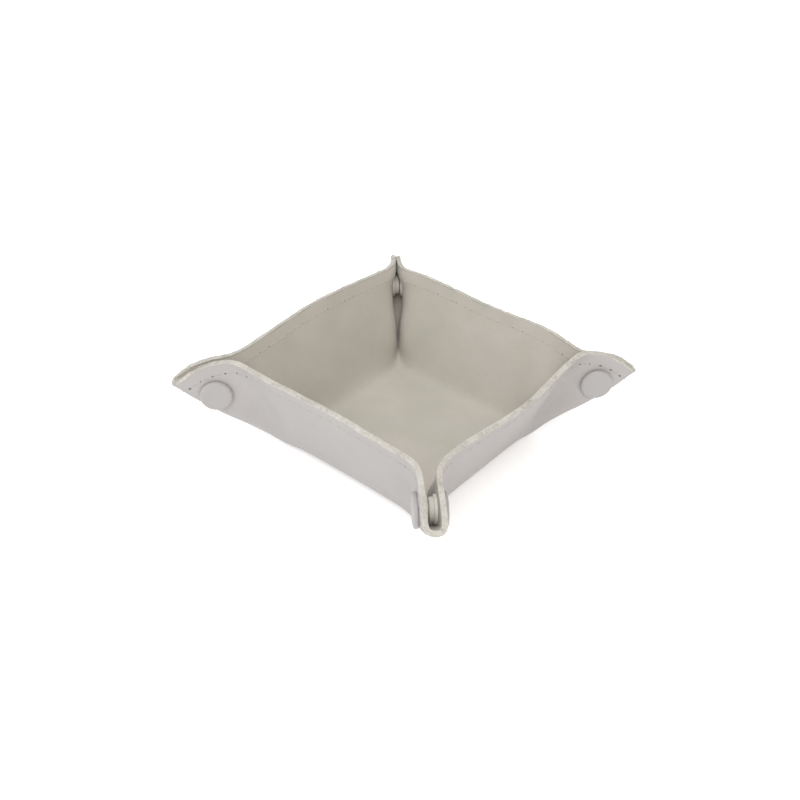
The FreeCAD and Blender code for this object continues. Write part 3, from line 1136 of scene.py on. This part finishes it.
# Outlines turned about the press studs' axis, as (radius, height): caps above the outer face, studs and
# sockets above the lining
CAP = ((0.0, -0.1), (5.9, -0.1), (6.12, 0.1), (6.2, 0.5), (6.16, 0.95), (6.0, 1.3), (5.7, 1.54), (5.2, 1.66),
       (4.6, 1.67), (3.9, 1.62), (2.0, 1.60), (0.0, 1.60))
STUD = ((0.0, -0.1), (5.1, -0.1), (5.2, 0.15), (5.2, 0.9), (5.05, 1.12), (4.8, 1.2), (2.6, 1.2), (2.35, 1.3),
        (2.2, 1.6), (2.3, 2.2), (2.25, 2.5), (1.9, 2.7), (1.2, 2.7), (1.0, 2.2), (0.0, 2.2))
SOCKET = ((0.0, -0.1), (5.1, -0.1), (5.2, 0.15), (5.2, 0.8), (5.0, 1.05), (4.6, 1.15), (4.35, 1.3),
          (4.3, 2.4), (4.1, 2.7), (3.8, 2.8), (3.1, 2.8), (2.75, 2.7), (2.6, 2.4), (2.55, 1.0), (0.0, 1.0))


def turned_outline(outline, centre, axis, start):
    """Rings of points of an outline turned about an axis."""
    turns = np.linspace(0, 2 * math.pi, SNAP_SIDES, endpoint=False)
    circle = np.outer(np.cos(turns), start) + np.outer(np.sin(turns), np.cross(axis, start))
    return np.array([centre + axis * height + circle * max(radius, LEAST_RADIUS)
                     for radius, height in outline])


def make_snap(wall, side):
    """The cap outside one ear, and the stud or socket inside it, where the corner's tip has swung to."""
    tag = end_tag(wall, side)
    quarter = WALLS.index(wall)
    kind = "stud" if wall in STUD_WALLS else "socket"
    outwards = unit((-1, 1, 0))
    up_ear = sign_to(np.cross(outwards, CREASE_DIRECTION), (0, 0, 1))
    along = CREASE_LENGTH - STUD_FROM_TIP
    lining = CREASE_POINT + CREASE_DIRECTION * along + up_ear * STUD_ABOVE_CREASE
    flat = flat_diagonal_point(along, HALF_GAP + STUD_ABOVE_CREASE)
    flat = turned(np.array([[side * flat[0], -HALF_BASE - flat[1]]]), quarter)
    corner = tuple(int(c) for c in np.sign(flat[0]))
    shift = corner_stray(flat, corner)[0]
    axis, start = (row_frame(v, quarter, side) for v in (outwards, up_ear))
    cap_foot = row_frame(lining + outwards * THICKNESS, quarter, side) + shift
    inner_foot = row_frame(lining, quarter, side) + shift
    cap = turned_outline(CAP, cap_foot, axis, start)
    inner = turned_outline(STUD if kind == "stud" else SOCKET, inner_foot, -axis, start)
    # The stud or socket takes the lighter plastic, which is painted light against the corner's shade.
    for name, rings, finish in ((kind + "_cap_", cap, "snap"), ("snap_" + kind + "_", inner, "inner_snap")):
        obj = tubes_object("turned_" + name + tag, [rings])
        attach(obj, "ear_" + tag)
        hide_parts(name + tag)
        finish_as(obj, finish)


# ---------------------------------------------------------------- floor, light and camera

TARGET = Vector((-0.0105, 0.0071, 0.010))
AZIMUTH, ELEVATION, ROLL = 39.8, 36.2, 1.0
CAMERA_DISTANCE = 0.451
LENS = 51.0
FLOOR_HALF = 3000.0             # millimetres, as in every mesh here
FLOOR_COLOR = (0.9, 0.9, 0.9)
FLOOR_GLOW = 0.3
WORLD_LIGHT = 1.0
FROM_RIGHT = (0.75, 0.69, 0.635)
KEY_PLACE = (0.33, -0.56, 1.0)
KEY_SIZE = 0.9
KEY_POWER = 7.0


def make_stage():
    corners = np.array([(-1, -1, 0), (1, -1, 0), (1, 1, 0), (-1, 1, 0)])
    floor = mesh_object("floor", corners * FLOOR_HALF, [(0, 1, 2, 3)])
    material, _ = new_material("floor", FLOOR_COLOR, 0.9, Emission_Color=(1, 1, 1, 1),
                               Emission_Strength=FLOOR_GLOW)
    floor.data.materials.append(material)


def make_key_light():
    data = bpy.data.lights.new("key", "AREA")
    data.energy = KEY_POWER
    data.size = KEY_SIZE
    light = bpy.data.objects.new("key", data)
    light.location = KEY_PLACE
    light.rotation_euler = (TARGET - Vector(KEY_PLACE)).to_track_quat("-Z", "Y").to_euler()
    bpy.context.scene.collection.objects.link(light)


def make_camera():
    azimuth, elevation = math.radians(AZIMUTH), math.radians(ELEVATION)
    back = Vector((math.sin(azimuth) * math.cos(elevation), -math.cos(azimuth) * math.cos(elevation),
                   math.sin(elevation)))
    camera = bpy.data.objects.new("camera", bpy.data.cameras.new("camera"))
    camera.data.lens = LENS
    camera.data.clip_start = 0.01
    camera.location = TARGET + back * CAMERA_DISTANCE
    turn = back.to_track_quat("Z", "Y").to_matrix()
    camera.rotation_euler = (turn @ Matrix.Rotation(math.radians(ROLL), 3, "Z")).to_euler()
    bpy.context.scene.collection.objects.link(camera)
    bpy.context.scene.camera = camera


def make_world():
    """Light from all round, dimmer and warmer from the right. The camera sees plain white."""
    world = bpy.data.worlds.new("studio")
    world.use_nodes = True
    background = world.node_tree.nodes["Background"]
    background.inputs["Strength"].default_value = WORLD_LIGHT
    direction = add(world, "ShaderNodeSeparateXYZ")
    link(world, add(world, "ShaderNodeTexCoord").outputs["Generated"], direction.inputs["Vector"])
    light = mix_color(world, direction.outputs["X"], (1, 1, 1), FROM_RIGHT, 0.0, 1.0)
    seen = add(world, "ShaderNodeMix", data_type="RGBA")
    link(world, add(world, "ShaderNodeLightPath").outputs["Is Camera Ray"], seen.inputs["Factor"])
    mixed_color, first_color, second_color = seen.outputs[2], seen.inputs[6], seen.inputs[7]
    link(world, light, first_color)
    second_color.default_value = (1, 1, 1, 1)
    link(world, mixed_color, background.inputs["Color"])
    bpy.context.scene.world = world
    bpy.context.scene.view_settings.view_transform = "Standard"


make_camera()
make_world()
make_stage()
make_key_light()
make_base()
for wall in WALLS:
    make_panels(Surface(turned(front_grid(), WALLS.index(wall))), wall)
    make_rim(wall)
    make_stitching(wall)
    for side in (-1, 1):
        make_snap(wall, side)
